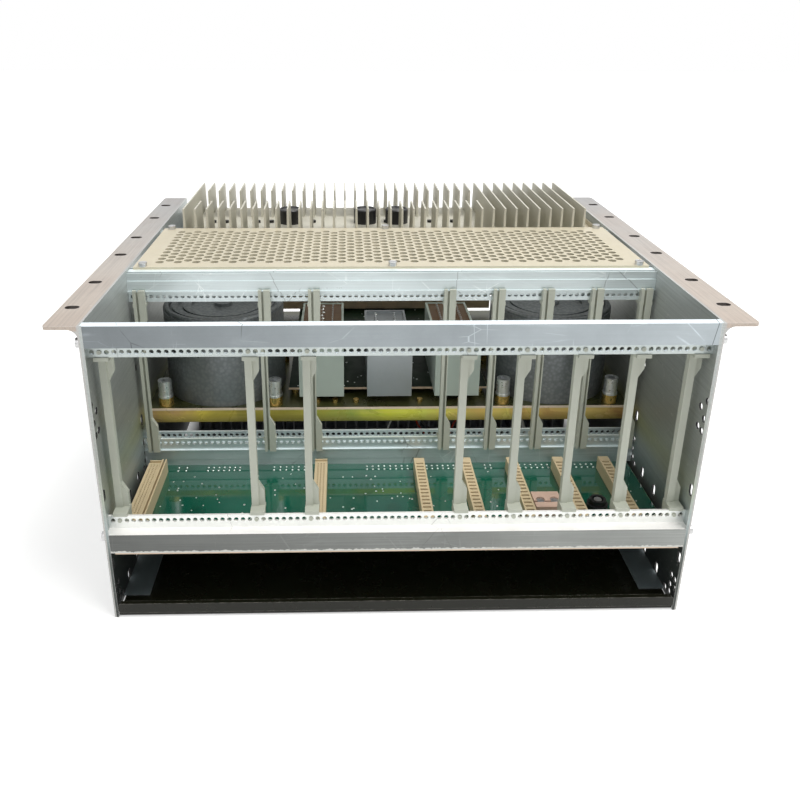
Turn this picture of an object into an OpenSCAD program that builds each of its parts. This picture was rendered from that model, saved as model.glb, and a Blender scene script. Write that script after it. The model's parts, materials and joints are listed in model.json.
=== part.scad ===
// Subrack card cage: three 3U tiers in one 19-inch frame, standing on the rear
// edges of its side plates with the rack front facing up.
// X is the rack width, Y the rack height and +Z the rack front. The origin is
// at the centre of the underside.

/* [Frame] */
// width over the two rack flanges
rack_w = 482.6; // [482.6:0.1:482.6]
// height of the frame in rack units
units = 9; // [9:1:9]
// width over the side plates
body_w = 436.52; // [436.4:0.02:438]
// depth from the rear edges to the front of the flanges
depth = 240.5; // [238:0.5:250]
// side plate thickness
side_t = 1.5; // [1.2:0.1:1.5]
// rack flange thickness
flange_t = 2.5; // [2:0.1:3]
// radius between side plate and flange
flange_fillet = 7; // [4:0.5:7]
// width of the thickened near edge of a side plate
bead_w = 3.2; // [2.4:0.1:4]
// depth of the thickened near edge of a side plate
bead_t = 1.2; // [0.8:0.1:1.6]
// spacing of the rack slots across the frame
slot_pitch = 465.1; // [465.1:0.1:465.1]
// rack slot length
slot_l = 10.3; // [9:0.1:12]
// rack slot width
slot_w = 6.8; // [6:0.1:7.2]

/* [Rails] */
// pitch of the holes along the rails
hp = 5.08; // [5.08:0.01:5.08]
// holes each side of the middle one
holes_half = 42; // [30:1:42]
// diameter of the rail holes
rail_hole_d = 3.4; // [3:0.1:3.8]
// depth of the outer block of a single rail
block_d = 7.6; // [7:0.1:8.2]
// height of the block of a rail
block_h = 15.9; // [14:0.1:16.5]
// distance from the outer face of a rail to its perforated lip
lip_set = 9.2; // [8.8:0.1:9.6]
// thickness of the perforated lip
lip_t = 2; // [1.6:0.1:2.4]
// height of the lip past the block
lip_h = 10.4; // [9.5:0.1:11]
// distance of the hole row from the block
hole_drop = 6.6; // [6:0.1:7]
// width of a double rail
double_w = 19; // [18:0.5:20]
// how far the block of a double rail stands past its lips
ledge = 1.9; // [1.5:0.1:2.4]
// depth of the first step in the side of a double rail
step_1 = 6.5; // [4:0.5:9]
// depth of the second step in the side of a double rail
step_2 = 14.9; // [12:0.1:15]
// width of the slots for the panel screws
thread_w = 2.8; // [2.6:0.1:3]
// depth of the slots for the panel screws
thread_d = 5; // [4:0.5:5.5]
// lower edge of the front lips of the double rails
z_front_lip = 213.4; // [212.5:0.1:213.8]
// top of the front rails under the panel
rail_top = 238; // [237:0.5:238]
// underside of the rear rails
rail_low = 59.3; // [57:0.1:61]
// screw diameter at the rail ends
end_screw_d = 4; // [3:0.5:4.5]
// distance of the end screw from the face of the block
end_screw_in = 13; // [11:0.1:13]
// distance of the end screw from the face of a double rail
double_screw_in = 11.5; // [10.8:0.1:12.5]

/* [Card guides] */
// width of a guide
guide_w = 7.6; // [7:0.1:8.4]
// depth of a guide away from the lip
guide_d = 5.5; // [5:0.1:6.5]
// width of the card groove
groove_w = 2; // [1.6:0.1:2.4]
// width of the end tabs
tab_w = 11; // [10:0.2:12]
// height of the end tabs
tab_h = 4.3; // [3.5:0.1:5]
// reach of the flared ends to one side
flare = 8.3; // [6.5:0.1:8.4]
// length of the flared ends
flare_l = 12; // [8:0.5:16]

/* [Backplane] */
// thickness of the backplane
board_t = 3; // [1.6:0.1:3.2]
// length of a connector
conn_l = 95; // [90:1:96]
// height of a connector
conn_h = 11.7; // [9:0.1:13]
// width of a three-row connector
pin_conn_w = 10.6; // [10:0.1:12]
// width of a slotted connector
slot_conn_w = 9; // [8:0.1:10]
// pitch of the slotted connectors
conn_pitch = 40.64; // [38:0.02:42]
// centre of the connectors between the rails
conn_y = -133; // [-134:0.5:-132]

/* [Panel] */
// panel width
panel_w = 427; // [424:1:430]
// panel height
panel_h = 128.5; // [127:0.5:128.5]
// panel thickness
panel_t = 2; // [1.5:0.1:2.4]
// distance between neighbouring columns of holes
perf_x = 7.64; // [7.4:0.02:8]
// distance between holes in a column
perf_y = 9.96; // [9.5:0.02:10]
// diameter of a hole
perf_d = 7; // [5.5:0.1:7.2]
// spacing of the two rows of panel screws
panel_screw_y = 122.5; // [122:0.1:123]
// distance of the outer panel screws from the middle
panel_screw_x = 206; // [204:0.5:208]

/* [Heatsinks] */
// number of fins on the front heatsink
fins = 36; // [30:1:36]
// pitch of the fins
fin_pitch = 11.14; // [10:0.02:11.14]
// fin thickness at the root
fin_root = 2.4; // [2:0.1:3]
// fin thickness at the tip
fin_tip = 1.4; // [1:0.1:1.8]
// height of the front fins
fin_h = 28.5; // [20:0.5:32]
// top of the front heatsink base
sink_z = 230; // [229:0.5:231]
// heatsink base thickness
sink_t = 5; // [4:0.5:6]
// length of the heatsinks
sink_l = 131; // [126:0.5:132]
// near edge of the heatsinks
sink_y = 65; // [64.6:0.1:66]
// length of the fin stubs before the gap
stub_near = 38; // [30:1:42]
// length of the gap in the fins
fin_gap = 48; // [44:1:50]
// height of the rear fins
rear_fin_h = 43; // [30:1:46]

/* [Interior] */
// top of the plate that carries the transformers
deck_z = 105; // [98:0.5:108]
// thickness of that plate
deck_t = 1.5; // [1.2:0.1:2]
// diameter of a transformer can
can_d = 110; // [100:1:112]
// height of a transformer can
can_h = 82; // [60:1:90]
// distance of a can from the middle
can_x = 152; // [150:0.5:153]
// can centre along the rack height
can_y = 4; // [2:0.5:6]
// distance of the can screws from the can axis, along X and Y
can_screw = 49; // [47:0.5:50]
// width of the boxed modules
box_w = 40; // [36:1:42]
// length of the boxed modules
box_l = 106; // [90:1:108]
// distance between the boxed modules
box_pitch = 61; // [58:0.5:62]
// height of the outer modules
box_h = 52; // [40:1:56]
// height of the middle module
mid_box_h = 44; // [30:1:48]

/* [Rear cover] */
// height of the cover above the rear edges
cover_z = 0.8; // [0.5:0.1:1.5]
// cover thickness
cover_t = 1.5; // [1:0.1:2]
// top of the rolled near lip
cover_lip = 12.4; // [10:0.1:14]

/* [Fit] */
// clearance of a part that slips into another
fit = 0.1; // [0.05:0.05:0.2]

/* [Hidden] */
$fn = 48;
e = 0.01;
height = units * 44.45 - 0.8;
y_near = -height / 2;
y_far = height / 2;
x_out = body_w / 2;
x_in = x_out - side_t;
rail_half = x_in - fit / 2;
tier = 133.35;
y_centre = -tier / 2;
y_middle = tier / 2;
lip_y = lip_set + lip_t;
thread_off = tier / 2 - panel_screw_y / 2;
z_top_row = depth - block_h - hole_drop;
z_low_row = rail_low + block_h + hole_drop;
guide_slots = [-41, -21, -13, 9, 17, 25, 33, 41];
sink_low = sink_z - sink_t;
fin_x0 = -(fins - 1) * fin_pitch / 2;
rear_sink_top = rail_low;
board_z = rail_low - board_t;
inner_board_z = deck_z + 5;
inner_board_t = 2;
box_z = inner_board_z + inner_board_t;
box_y = -46;
slot_rows = [28.575, 104.775, 161.925];
far_rail_top = sink_low;

aluminium = [0.80, 0.81, 0.82];
plastic = [0.76, 0.77, 0.72];
cream = [0.85, 0.80, 0.69];

// ---------------------------------------------------------------- helpers

// extrudes a profile drawn in Y and Z along X, centred
module along_x(length) {
    translate([-length / 2, 0, 0]) rotate([90, 0, 90]) linear_extrude(length) children();
}

// extrudes a profile drawn in X and Z along Y, from y0 to y1
module along_y(y0, y1) {
    translate([0, y1, 0]) rotate([90, 0, 0]) linear_extrude(y1 - y0) children();
}

// a box given by two opposite corners
module span(a, b) {
    translate(a) cube(b - a);
}

// a round hole or pin along X
module bar_x(x, y, z, length, d) {
    translate([x, y, z]) rotate([0, 90, 0]) cylinder(h = length, d = d);
}

// a round hole or pin along Y
module bar_y(x, y, z, length, d) {
    translate([x, y, z]) rotate([-90, 0, 0]) cylinder(h = length, d = d);
}

// a row of holes at the card pitch, through the lip at y
module hole_row(y, z) {
    for (i = [-holes_half : holes_half])
        bar_y(i * hp, y - 1, z, lip_t + 2, rail_hole_d);
}

// the bores for the screws at both ends of a rail
module end_bores(y, z) {
    for (side = [-1, 1])
        bar_x(side * rail_half - 16, y, z, 32, end_screw_d + 2 * fit);
}

// a pan head screw along X whose head stands on the outside of a side plate
module end_screw(side, y, z) {
    mirror([side < 0 ? 1 : 0, 0, 0]) {
        difference() {
            bar_x(x_out, y, z, 2.6, 7);
            span([x_out + 1.6, y - 3, z - 0.5], [x_out + 3, y + 3, z + 0.5]);
        }
        bar_x(x_out - 12, y, z, 12 + e, end_screw_d);
    }
}

// ---------------------------------------------------------------- frame

// holes of the side plate: [y from the near edge, z]
near_holes = [[5.2, 179], [13.6, 171], [6.2, 164.5], [13.6, 155.5], [7, 154.5]];
inner_holes = [[124.4, 154.5], [124, 83], [124.8, 73], [122.5, 66], [116.5, 62]];
corner_holes = [[14.3, 22.6], [7.6, 22.6], [5.6, 15.8], [14.4, 13.4], [14.2, 6.8], [21.8, 5]];
vent_y = [41.8, 69.3, 96.8];

module rack_slot(x, y) {
    translate([x, y, depth - flange_t - 1]) linear_extrude(flange_t + 2) {
        square([slot_l - slot_w, slot_w], center = true);
        for (s = [-1, 1])
            translate([s * (slot_l - slot_w) / 2, 0]) circle(d = slot_w);
    }
}

module tall_slot(y, z, w, h) {
    translate([x_in - 1, y, z]) rotate([90, 0, 90]) linear_extrude(side_t + 2) {
        square([w, h - w], center = true);
        for (s = [-1, 1])
            translate([0, s * (h - w) / 2]) circle(d = w);
    }
}

module side_profile() {
    difference() {
        polygon([
            [x_in, 0], [x_out, 0], [x_out, depth - flange_t - flange_fillet],
            [x_out + flange_fillet, depth - flange_t],
            [rack_w / 2, depth - flange_t], [rack_w / 2, depth], [x_in, depth]
        ]);
        translate([x_out + flange_fillet, depth - flange_t - flange_fillet])
            circle(r = flange_fillet);
    }
}

module side_plate() {
    color(aluminium) difference() {
        union() {
            along_y(y_near, y_far) side_profile();
            span([x_out - bead_w, y_near, 0], [x_in + e, y_near + bead_t, depth]);
        }
        for (y = slot_rows, s = [-1, 1]) rack_slot(slot_pitch / 2, s * y);
        for (h = near_holes) bar_x(x_in - 1, y_near + h[0], h[1], side_t + 2, 5.6);
        for (h = inner_holes) bar_x(x_in - 1, y_near + h[0], h[1], side_t + 2, 5.2);
        for (h = corner_holes) bar_x(x_in - 1, y_near + h[0], h[1], side_t + 2, 5.4);
        for (y = vent_y, z = [7.5, 65]) tall_slot(y_near + y, z, 6, 10);
        for (z = [44, 105]) tall_slot(y_near + 6.8, z, 6, 10);
        tall_slot(y_near + 125.4, 105, 6, 10);
        for (p = rail_ends) bar_x(x_in - 1, p[0], p[1], side_t + 2, end_screw_d + 2 * fit);
        for (s = [-1, 1]) flange_corner(s * y_far, s);
    }
}

// what a corner radius takes off the outer end of the flange
module flange_corner(y, s, r = 3) {
    translate([rack_w / 2 - r, y - s * r, depth - flange_t - 1]) difference() {
        translate([0, s > 0 ? 0 : -r - 1, 0]) cube([r + 1, r + 1, flange_t + 2]);
        translate([0, 0, -1]) cylinder(r = r, h = flange_t + 4);
    }
}

// where the end screws sit: [y, z] of each rail
rail_ends = [
    [y_near + 3.8, depth - end_screw_in], [y_near + 3.8, rail_low + end_screw_in],
    [y_centre, rail_top - double_screw_in], [y_centre, rail_low + double_screw_in],
    [y_middle + 4.6, sink_low - 7], [y_middle, rail_low + double_screw_in],
    [y_far - 3.8, far_rail_top - end_screw_in], [y_far - 3.8, rail_low + end_screw_in]
];

module side_plate_left() {
    mirror([1, 0, 0]) side_plate();
}

module side_plate_right() {
    side_plate();
}

module rail_screws() {
    color([0.55, 0.56, 0.57])
        for (p = rail_ends, side = [-1, 1]) end_screw(side, p[0], p[1]);
}

// ---------------------------------------------------------------- rails

// a single rail: outer face at y = 0, block from z = 0 down, lip hanging below
module single_profile() {
    polygon([
        [0, 0], [block_d, 0], [block_d, -block_h + 2.2], [lip_set, -block_h + 2.2],
        [lip_set, -1.5], [lip_y, -1.5], [lip_y, -block_h - lip_h],
        [lip_set, -block_h - lip_h], [lip_set, -block_h], [0, -block_h]
    ]);
}

// puts the single rail profile at an edge of the frame; near or far, front or rear
module single_rail(near, front, top) {
    ys = near ? 1 : -1;
    zs = front ? 1 : -1;
    y0 = near ? y_near : y_far;
    zh = top - zs * (block_h + hole_drop);
    color(aluminium) difference() {
        along_x(2 * rail_half)
            translate([y0, top]) flip(ys, zs) single_profile();
        hole_row(y0 + ys * (lip_set + lip_t / 2) - lip_t / 2, zh);
        end_bores(y0 + ys * 3.8, top - zs * end_screw_in);
        for (s = [-1, 1]) bead_notch(s);
    }
}

// room for the thickened edge of the side plates at the ends of a near rail
module bead_notch(s) {
    x = s * (x_out - bead_w / 2);
    r = bead_w / 2 + fit;
    span([x - r, y_near - 1, 0], [x + r, y_near + bead_t + fit, depth + 1]);
}

// mirrors a flat profile where a sign is negative
module flip(ys, zs) {
    mirror([ys < 0 ? 1 : 0, 0]) mirror([0, zs < 0 ? 1 : 0]) children();
}

// a double rail: centred on y = 0, its face at z = 0, lips hanging below
module double_profile(lip) {
    h = double_w / 2;
    l = h - ledge;
    half = [
        [h - 1.6, 0], [h - 1.6, -step_1], [h - 0.8, -step_1], [h - 0.8, -step_2],
        [h, -step_2], [h, -block_h], [l, -block_h],
        [l, -block_h - lip], [l - lip_t, -block_h - lip], [l - lip_t, -block_h]
    ];
    polygon(concat(half, [for (i = [len(half) - 1 : -1 : 0]) [-half[i][0], half[i][1]]]));
}

module double_rail(y, top, front) {
    zs = front ? 1 : -1;
    l = double_w / 2 - ledge;
    color(aluminium) difference() {
        along_x(2 * rail_half)
            translate([y, top]) flip(1, zs)
                double_profile(front ? top - block_h - z_front_lip : lip_h);
        for (y_hole = [y - l, y + l - lip_t])
            hole_row(y_hole, front ? z_top_row : z_low_row);
        end_bores(y, top - zs * double_screw_in);
        for (s = [-1, 1]) thread_slot(y + s * thread_off, top, zs);
    }
}

// the slot that takes the panel screws, in the face of a rail
module thread_slot(y, top, zs) {
    along_x(2 * rail_half + 2)
        translate([y - thread_w / 2, zs > 0 ? top - thread_d : top - 1])
            square([thread_w, thread_d + 1]);
}

module front_rail_near() {
    single_rail(true, true, depth);
}

module rear_rail_near() {
    single_rail(true, false, rail_low);
}

module front_rail_centre() {
    double_rail(y_centre, rail_top, true);
}

module rear_rail_centre() {
    double_rail(y_centre, rail_low, false);
}

// steps down behind the panel, so that the heatsink base can lie on it
module front_rail_middle() {
    h = double_w / 2;
    color(aluminium) difference() {
        along_x(2 * rail_half) translate([y_middle, 0]) polygon([
            [-h, rail_top], [-2.3, rail_top], [-2.3, sink_low], [h, sink_low],
            [h, sink_low - 11], [-h, sink_low - 11]
        ]);
        thread_slot(y_middle - thread_off, rail_top, 1);
        end_bores(y_middle + 4.6, sink_low - 7);
    }
}

module rear_rail_middle() {
    double_rail(y_middle, rail_low, false);
}

module front_rail_far() {
    single_rail(false, true, far_rail_top);
}

module rear_rail_far() {
    single_rail(false, false, rail_low);
}

// ---------------------------------------------------------------- card guides

// one guide between z0 and z1 on the face of two lips, with the card at +y
module card_guide(z0, z1) {
    difference() {
        union() {
            span([-guide_w / 2, 0, z0], [guide_w / 2, guide_d, z1]);
            guide_end(z0, z_low_row);
            translate([0, 0, z0 + z1]) mirror([0, 0, 1]) guide_end(z0, z0 + z1 - z_top_row);
            for (x = [-guide_w / 2, guide_w / 2 - 1])
                span([x, -0.8, z0 + flare_l + 6], [x + 1, e, z1 - flare_l - 6]);
        }
        span([-groove_w / 2, guide_d - 3.2, 0], [groove_w / 2, guide_d + 1, depth]);
    }
}

// the end of a guide that stands on a lip at z0, with pegs at the height z_peg
module guide_end(z0, z_peg) {
    span([-tab_w / 2, -lip_t - 0.6, z0], [tab_w / 2, guide_d, z0 + tab_h]);
    span([-guide_w / 2, 0, z_peg - 3], [hp + 2.4, 3, z0 + e]);
    for (x = [0, hp])
        bar_y(x, -lip_t - 0.8, z_peg, lip_t + 1, rail_hole_d - 2 * fit);
    along_y(1.5, guide_d) polygon([
        [0, z0], [flare, z0], [flare, z0 + flare_l],
        [guide_w / 2, z0 + flare_l + 6], [0, z0 + flare_l + 6]
    ]);
    span([-tab_w / 2, 0, z0 + tab_h - e], [-tab_w / 2 + 1, 2, z0 + flare_l]);
}

module card_guides_near() {
    z0 = rail_low + block_h + lip_h;
    z1 = depth - block_h - lip_h;
    color(plastic)
        for (s = guide_slots) translate([s * hp, y_near + lip_y, 0]) card_guide(z0, z1);
}

module card_guides_centre() {
    z0 = rail_low + block_h + lip_h;
    y = y_centre - double_w / 2 + ledge;
    color(plastic)
        for (s = guide_slots)
            translate([s * hp, y, 0]) rotate([0, 0, 180]) card_guide(z0, z_front_lip);
}

// ---------------------------------------------------------------- backplane

module backplane() {
    color([0.05, 0.34, 0.24])
        span([-x_in + 4, y_near + 2.6, board_z], [x_in - 4, y_centre + 9, rail_low]);
}

module pin_connector(x) {
    rows = 32;
    pitch = 2.54;
    translate([x, conn_y, rail_low]) difference() {
        union() {
            translate([-pin_conn_w / 2, -conn_l / 2, 0]) cube([pin_conn_w, conn_l, conn_h]);
            for (s = [-1, 1])
                translate([-pin_conn_w / 2 + 1, s * (conn_l / 2 - 2) - 2, 0])
                    cube([pin_conn_w - 2, 4, conn_h - 3]);
        }
        for (i = [0 : rows - 1], j = [-1 : 1])
            translate([j * pitch - 0.6, (i - (rows - 1) / 2) * pitch - 0.6, conn_h - 5])
                cube([1.2, 1.2, 6]);
        for (s = [-1, 1])
            translate([-pin_conn_w, s * (conn_l / 2 - 3) - 1.5, conn_h - 2])
                cube([2 * pin_conn_w, 3, 3]);
    }
}

pin_conn_x = [-204.7, -61];

module pin_connectors() {
    color(cream) for (x = pin_conn_x) pin_connector(x);
}

module connector_strip() {
    x = pin_conn_x[0] + pin_conn_w / 2;
    color(cream) difference() {
        span([x, conn_y - conn_l / 2, rail_low], [x + 4, conn_y + conn_l / 2, rail_low + conn_h + 1]);
        span([x + 1.2, conn_y - conn_l / 2 - 1, rail_low + 6],
             [x + 2.8, conn_y + conn_l / 2 + 1, rail_low + conn_h + 2]);
    }
}

module slot_connector(x) {
    slots = 16;
    translate([x, conn_y, rail_low]) difference() {
        translate([-slot_conn_w / 2, -conn_l / 2, 0]) cube([slot_conn_w, conn_l, conn_h]);
        for (i = [0 : slots - 1])
            translate([-slot_conn_w / 2 + 1.4, (i - (slots - 1) / 2) * 5.08 - 1, conn_h - 4])
                cube([slot_conn_w - 2.8, 2, 5]);
    }
}

module slot_connectors() {
    color(cream) for (k = [0 : 4]) slot_connector(24.4 + k * conn_pitch);
}

module terminal_block() {
    color([0.86, 0.70, 0.62]) difference() {
        span([111, -163, rail_low], [133, -141, rail_low + 12]);
        for (x = [116.5, 127.5])
            translate([x, -152, rail_low + 9]) cylinder(h = 4, d = 7);
        span([110, -156, rail_low + 4], [134, -154, rail_low + 13]);
    }
}

module terminal_screws() {
    color([0.7, 0.7, 0.7]) for (x = [116.5, 127.5])
        translate([x, -152, rail_low + 9]) difference() {
            cylinder(h = 2, d = 6.4);
            translate([-4, -0.5, 1]) cube([8, 1, 2]);
        }
}

module round_socket() {
    color([0.08, 0.08, 0.08]) translate([165.2, -146, rail_low]) difference() {
        union() {
            cylinder(h = 4, d = 17);
            cylinder(h = 8, d = 13);
        }
        translate([0, 0, 5]) cylinder(h = 4, d = 9);
    }
}

module socket_screw() {
    color([0.7, 0.7, 0.7]) translate([165.2, -146, rail_low + 5]) difference() {
        cylinder(h = 2.6, d = 6);
        translate([-4, -0.5, 1.6]) cube([8, 1, 2]);
    }
}

// ---------------------------------------------------------------- rear cover

module rear_cover() {
    half = x_out - bead_w - fit;
    lip_z = 4;
    r = 2.5;
    color([0.10, 0.10, 0.08]) {
        span([-half, y_near + 1.5, cover_z], [half, 62, cover_z + cover_t]);
        span([-half, y_near + 1.5, cover_z], [half, y_near + 3, cover_lip - r]);
        along_y(y_near, y_near + 3.6) difference() {
            union() {
                translate([-half + r, lip_z]) square([2 * (half - r), cover_lip - lip_z]);
                translate([-half, lip_z + r]) square([2 * half, cover_lip - lip_z - 2 * r]);
                for (x = [-half + r, half - r], z = [lip_z + r, cover_lip - r])
                    translate([x, z]) circle(r = r);
            }
        }
    }
}

module cover_strips() {
    color([0.33, 0.34, 0.34]) for (s = [-1, 1]) {
        x = s * (x_in - 10.4);
        span([x - 10.2, y_near + 22, cover_z + cover_t], [x + 10.2, 62, cover_z + cover_t + 1]);
    }
}

// ---------------------------------------------------------------- panel

module perforated_panel() {
    columns = 52;
    color(cream) translate([0, 0, rail_top]) linear_extrude(panel_t) difference() {
        square([panel_w, panel_h], center = true);
        for (i = [0 : columns - 1]) {
            n = i % 2 == 0 ? 11 : 10;
            for (k = [0 : n - 1])
                translate([(i - (columns - 1) / 2) * perf_x, (k - (n - 1) / 2) * perf_y])
                    circle(d = perf_d);
        }
        for (x = [-1 : 1], s = [-1, 1])
            translate([x * panel_screw_x, s * panel_screw_y / 2]) circle(d = 2.8);
    }
}

module panel_screws() {
    color([0.74, 0.74, 0.74])
        for (x = [-1 : 1], s = [-1, 1])
            translate([x * panel_screw_x, s * panel_screw_y / 2, rail_top + panel_t]) difference() {
                union() {
                    cylinder(h = 3.4, d = 7);
                    translate([0, 0, -panel_t - 3]) cylinder(h = panel_t + 4, d = 2.5);
                }
                translate([-4, -0.6, 1.9]) cube([8, 1.2, 2]);
            }
}

// ---------------------------------------------------------------- heatsinks

// a finned profile with the root of the fins at z = 0 and the fins upwards
module fin_profile(h, base) {
    half = fins * fin_pitch / 2 - 2;
    translate([-half, -base]) square([2 * half, base]);
    for (i = [0 : fins - 1])
        translate([fin_x0 + i * fin_pitch, -e]) polygon([
            [-fin_root / 2, 0], [fin_root / 2, 0], [fin_tip / 2, h + e], [-fin_tip / 2, h + e]
        ]);
}

module front_heatsink() {
    full_fins = 9;
    x0 = fin_x0 + fin_pitch / 2;
    x1 = -fin_x0 - (full_fins - 0.5) * fin_pitch;
    color([0.78, 0.78, 0.72]) difference() {
        along_y(sink_y, sink_y + sink_l) translate([0, sink_z]) fin_profile(fin_h, sink_t);
        span([x0, sink_y + stub_near, sink_z], [x1, sink_y + stub_near + fin_gap, sink_z + fin_h + 1]);
    }
}

module heatsink_edge() {
    color(cream) {
        span([x_in - 7, sink_y, sink_z - 3], [x_in - fit, y_far - 12, sink_z - 1.5]);
        span([x_in - 1.6, sink_y, sink_z - 3], [x_in - fit, y_far - 12, sink_z + 3]);
    }
}

cap_y = 127;
gap_screw_x = [-176, -163, -130, -116, -72, 4, 50, 74];

module capacitors() {
    color([0.06, 0.06, 0.07]) for (x = [-96, -18, 15])
        translate([x, cap_y, sink_z]) rotate_extrude() polygon([
            [0, 0], [11.8, 0], [11.8, 14], [10.8, 15], [9.8, 15], [9.2, 13.8], [0, 13.8]
        ]);
}

module gap_screws() {
    color([0.16, 0.16, 0.15]) for (x = gap_screw_x)
        translate([x, cap_y, sink_z]) difference() {
            cylinder(h = 2.4, d = 5);
            translate([-3, -0.4, 1.4]) cube([6, 0.8, 2]);
        }
}

module rear_heatsink() {
    color([0.30, 0.30, 0.29]) along_y(sink_y, sink_y + sink_l)
        translate([0, rear_sink_top - sink_t]) flip(1, -1) fin_profile(rear_fin_h, sink_t);
}

// ---------------------------------------------------------------- interior

module deck_plate() {
    half = x_in - fit;
    color([0.78, 0.66, 0.28]) {
        span([-half, -55, deck_z - deck_t], [half, y_far - 3, deck_z]);
        span([-half, -55, deck_z - 13], [half, -55 + deck_t, deck_z]);
    }
}

module at_cans() {
    for (s = [-1, 1]) translate([s * can_x, can_y, deck_z]) children();
}

module transformer_cans() {
    r = can_d / 2;
    color([0.42, 0.44, 0.45]) at_cans() rotate_extrude() polygon([
        [0, 0], [r, 0], [r, can_h - 3], [r - 1, can_h - 3], [r - 1, can_h - 1],
        [r - 2, can_h], [r - 5, can_h], [r - 6, can_h - 4], [0, can_h - 4]
    ]);
}

module can_rings() {
    r = can_d / 2;
    color([0.62, 0.64, 0.65]) at_cans() translate([0, 0, can_h - 4]) {
        for (p = [[r - 14, r - 8, 3], [r - 26, r - 18, 2]])
            rotate_extrude() translate([p[0], 0]) square([p[1] - p[0], p[2]]);
        cylinder(h = 3, d = 16);
    }
}

module at_can_screws() {
    at_cans() for (a = [-1, 1], b = [-1, 1])
        translate([a * can_screw, b * can_screw, 0]) children();
}

module can_spacers() {
    color([0.80, 0.66, 0.30]) at_can_screws() cylinder(h = 8, d = 13);
}

module can_screws() {
    color([0.80, 0.81, 0.82]) at_can_screws() translate([0, 0, 8]) difference() {
        union() {
            cylinder(h = 16, d = 12);
            cylinder(h = 2, d = 13);
        }
        translate([0, 0, 10]) cylinder(h = 8, d = 7, $fn = 6);
    }
}

deck_screw_x = [-65, -49, -30, 28, 49, 65];

module deck_screws() {
    color([0.80, 0.66, 0.30]) for (x = deck_screw_x)
        translate([x, -42, deck_z]) difference() {
            cylinder(h = 2.6, d = 5);
            translate([-3, -0.4, 1.6]) cube([6, 0.8, 2]);
        }
}

module inner_board() {
    color([0.04, 0.22, 0.15])
        span([-92, -27, inner_board_z], [92, 64, inner_board_z + inner_board_t]);
}

module board_posts() {
    color([0.80, 0.66, 0.30]) for (x = [-86, 0, 86], y = [-21, 58])
        translate([x, y, deck_z]) cylinder(h = inner_board_z - deck_z, d = 6);
}

// a boxed module with a shallow well in its top
module boxed_module(x, h) {
    translate([x - box_w / 2, box_y, box_z]) difference() {
        cube([box_w, box_l, h]);
        translate([2, 2, h - 2]) cube([box_w - 4, box_l - 4, 3]);
    }
}

module outer_modules() {
    color([0.88, 0.88, 0.84]) for (s = [-1, 1]) boxed_module(s * box_pitch, box_h);
}

module middle_module() {
    color([0.62, 0.63, 0.64]) boxed_module(0, mid_box_h);
}

module module_lids() {
    color([0.42, 0.28, 0.14]) for (s = [-1, 1])
        translate([s * box_pitch - box_w / 2 + 2, box_y + 2, box_z + box_h - 2])
            cube([box_w - 4, box_l - 4, 1.2]);
}

module module_pins() {
    pins = 18;
    color([0.85, 0.86, 0.88])
        for (m = [[-box_pitch, box_h - 0.8], [0, mid_box_h - 2], [box_pitch, box_h - 0.8]],
             s = [-1, 1], i = [0 : pins - 1])
            translate([m[0] + s * 9.5, box_y + 9.8 + i * 5.08, box_z + m[1]])
                cylinder(h = 3, d = 1.6);
}

side_plate_left();
side_plate_right();
front_rail_near();
rear_rail_near();
front_rail_centre();
rear_rail_centre();
front_rail_middle();
rear_rail_middle();
front_rail_far();
rear_rail_far();
rail_screws();
card_guides_near();
card_guides_centre();
backplane();
pin_connectors();
connector_strip();
slot_connectors();
terminal_block();
terminal_screws();
round_socket();
socket_screw();
rear_cover();
cover_strips();
perforated_panel();
panel_screws();
front_heatsink();
heatsink_edge();
capacitors();
gap_screws();
rear_heatsink();
deck_plate();
transformer_cans();
can_rings();
can_spacers();
can_screws();
deck_screws();
inner_board();
board_posts();
outer_modules();
module_lids();
middle_module();
module_pins();
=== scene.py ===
"""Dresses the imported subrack: procedural materials, fine detail, light and camera."""
import json
import math
import random

import bmesh
import bpy
from mathutils import Matrix, Vector


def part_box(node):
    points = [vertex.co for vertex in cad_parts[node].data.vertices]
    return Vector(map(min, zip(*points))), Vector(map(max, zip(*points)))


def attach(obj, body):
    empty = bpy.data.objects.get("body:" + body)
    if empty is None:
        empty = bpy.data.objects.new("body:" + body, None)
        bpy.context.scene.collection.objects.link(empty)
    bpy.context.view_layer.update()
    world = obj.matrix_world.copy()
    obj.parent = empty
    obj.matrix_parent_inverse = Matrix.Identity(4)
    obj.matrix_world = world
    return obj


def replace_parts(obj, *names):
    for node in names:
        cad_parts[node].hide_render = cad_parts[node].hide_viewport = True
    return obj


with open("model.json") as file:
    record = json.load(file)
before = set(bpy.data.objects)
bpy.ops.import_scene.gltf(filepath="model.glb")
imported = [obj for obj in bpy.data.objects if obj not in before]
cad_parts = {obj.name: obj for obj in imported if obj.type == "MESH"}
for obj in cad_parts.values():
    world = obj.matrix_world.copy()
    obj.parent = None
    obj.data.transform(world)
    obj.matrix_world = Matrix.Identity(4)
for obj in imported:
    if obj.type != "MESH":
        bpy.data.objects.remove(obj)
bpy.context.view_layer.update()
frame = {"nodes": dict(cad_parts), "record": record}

NODES = frame["nodes"]
MM = 0.001


# ---------------------------------------------------------------- shader helpers


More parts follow.
